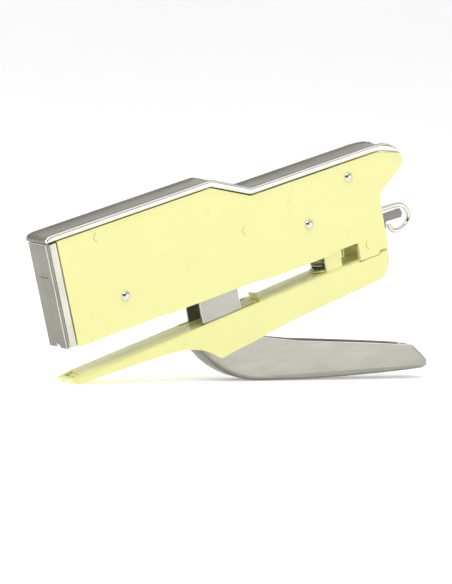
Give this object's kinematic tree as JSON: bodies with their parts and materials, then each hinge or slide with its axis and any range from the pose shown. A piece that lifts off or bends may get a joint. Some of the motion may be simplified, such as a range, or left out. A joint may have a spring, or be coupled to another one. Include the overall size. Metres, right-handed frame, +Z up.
{
  "type": "plier stapler",
  "caption": "Hand-squeezed plier stapler: sheet-steel body, slim lower jaw, channel lever and a pull-out staple pusher with a wire loop.",
  "frame": {"origin": "centre of the bounding box at the base, where the jaw tip and the lever rest", "axes": "+X from the staple end to the rear, +Y across to the right-hand side, +Z up"},
  "size_m": [0.1782, 0.0142, 0.0895],
  "materials": {
    "yellow_enamel": "smooth gloss enamel",
    "nickel": "bright nickel plate",
    "dull_nickel": "satin nickel plate",
    "zinc": "satin zinc plate",
    "dark_steel": "dark spring steel"
  },
  "bodies": {
    "body": {"left_side_plate": "yellow_enamel", "right_side_plate": "yellow_enamel", "rivet_front": "nickel", "rivet_middle": "nickel", "rivet_rear": "nickel", "jaw_hinge_pin": "nickel", "spacer_front": "zinc", "spacer_rear": "zinc", "top_strip": "nickel", "front_cover": "dull_nickel", "front_guide": "nickel", "magazine_channel": "zinc", "staple_stick": "nickel"},
    "hammer": {"hammer_arm": "zinc", "driver_blade": "dark_steel", "lever_pin": "nickel"},
    "lever": {"lever_handle": "zinc"},
    "jaw": {"lower_jaw": "yellow_enamel", "anvil_plate": "yellow_enamel", "spring_seat": "yellow_enamel", "jaw_spring": "dark_steel"},
    "pusher": {"pusher_plug": "dark_steel", "pusher_tongue": "dark_steel", "wire_loop": "nickel", "pusher_rod": "nickel", "follower_block": "dark_steel", "pusher_spring": "zinc"}
  },
  "joints": [
    {"name": "hammer_stroke", "type": "hinge", "parent": "body", "child": "hammer", "pos_m": [0.0247, 0, 0.058], "axis": [0, -1, 0], "range_deg": [0, 2.4], "stiffness_Nm_per_rad": 1, "springref_deg": -17.19},
    {"name": "lever_squeeze", "type": "hinge", "parent": "hammer", "child": "lever", "pos_m": [-0.02499, 0, 0.04395], "axis": [0, -1, 0], "range_deg": [0, 15], "stiffness_Nm_per_rad": 1.5, "springref_deg": -17.19},
    {"name": "jaw_close", "type": "hinge", "parent": "body", "child": "jaw", "pos_m": [0.05419, 0, 0.05129], "axis": [0, 1, 0], "range_deg": [0, 4.1], "stiffness_Nm_per_rad": 1.5, "springref_deg": -17.19, "deforming": ["jaw_spring"]},
    {"name": "pusher_pull", "type": "slide", "parent": "body", "child": "pusher", "axis": [0.9516, 0, 0.3074], "range_m": [0, 0.09]}
  ],
  "couplings": [
    {"joint": "hammer_stroke", "follows": "lever_squeeze", "ratio": 0.16},
    {"joint": "jaw_close", "follows": "lever_squeeze", "ratio": 0.2733}
  ]
}
